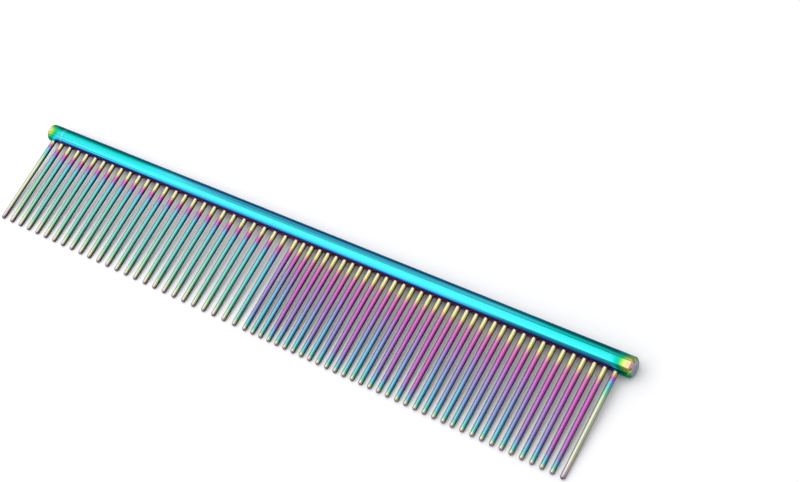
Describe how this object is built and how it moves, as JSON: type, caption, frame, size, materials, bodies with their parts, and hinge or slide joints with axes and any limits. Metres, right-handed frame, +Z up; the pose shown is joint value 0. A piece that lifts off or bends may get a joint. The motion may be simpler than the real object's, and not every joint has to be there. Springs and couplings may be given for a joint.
{
  "type": "pet grooming comb",
  "caption": "Straight steel grooming comb: a round closed tube as spine and back, with one row of round pin teeth, half coarse and half fine, under an iridescent coating.",
  "frame": {"origin": "on the table, under the middle of the outline of the comb as it lies flat", "axes": "+X along the spine from the coarse end to the fine end, teeth towards -Y, +Z up from the table that the spine and the tooth tips rest on"},
  "size_m": [0.188, 0.0314, 0.005],
  "materials": {
    "spine_steel": "polished steel with a thin interference coating, teal to blue, green and yellow at the ends",
    "tooth_steel": "polished steel with a thin interference coating, yellow and pink at the root, teal to blue along the tooth, yellow-green at the tip",
    "seam_solder": "thin silver-solder band dressed flush with the spine, paler than the coating beside it"
  },
  "bodies": {
    "root": {"coarse_end_plug": "spine_steel", "coarse_end_solder_ring": "seam_solder", "coarse_tooth_01": "tooth_steel", "coarse_tooth_02": "tooth_steel", "coarse_tooth_03": "tooth_steel", "coarse_tooth_04": "tooth_steel", "coarse_tooth_05": "tooth_steel", "coarse_tooth_06": "tooth_steel", "coarse_tooth_07": "tooth_steel", "coarse_tooth_08": "tooth_steel", "coarse_tooth_09": "tooth_steel", "coarse_tooth_10": "tooth_steel", "coarse_tooth_11": "tooth_steel", "coarse_tooth_12": "tooth_steel", "coarse_tooth_13": "tooth_steel", "coarse_tooth_14": "tooth_steel", "coarse_tooth_15": "tooth_steel", "coarse_tooth_16": "tooth_steel", "coarse_tooth_17": "tooth_steel", "coarse_tooth_18": "tooth_steel", "coarse_tooth_19": "tooth_steel", "coarse_tooth_20": "tooth_steel", "coarse_tooth_21": "tooth_steel", "coarse_tooth_22": "tooth_steel", "coarse_tooth_23": "tooth_steel", "coarse_tooth_24": "tooth_steel", "coarse_tooth_25": "tooth_steel", "coarse_tooth_26": "tooth_steel", "coarse_tooth_27": "tooth_steel", "fine_end_plug": "spine_steel", "fine_end_solder_ring": "seam_solder", "fine_tooth_01_02": "tooth_steel", "fine_tooth_03_04": "tooth_steel", "fine_tooth_05_06": "tooth_steel", "fine_tooth_07_08": "tooth_steel", "fine_tooth_09_10": "tooth_steel", "fine_tooth_11_12": "tooth_steel", "fine_tooth_13_14": "tooth_steel", "fine_tooth_15_16": "tooth_steel", "fine_tooth_17_18": "tooth_steel", "fine_tooth_19_20": "tooth_steel", "fine_tooth_21_22": "tooth_steel", "fine_tooth_23_24": "tooth_steel", "fine_tooth_25_26": "tooth_steel", "fine_tooth_27_28": "tooth_steel", "fine_tooth_29_30": "tooth_steel", "fine_tooth_31_32": "tooth_steel", "fine_tooth_33_34": "tooth_steel", "fine_tooth_35": "tooth_steel", "spine_tube": "spine_steel"}
  },
  "joints": []
}
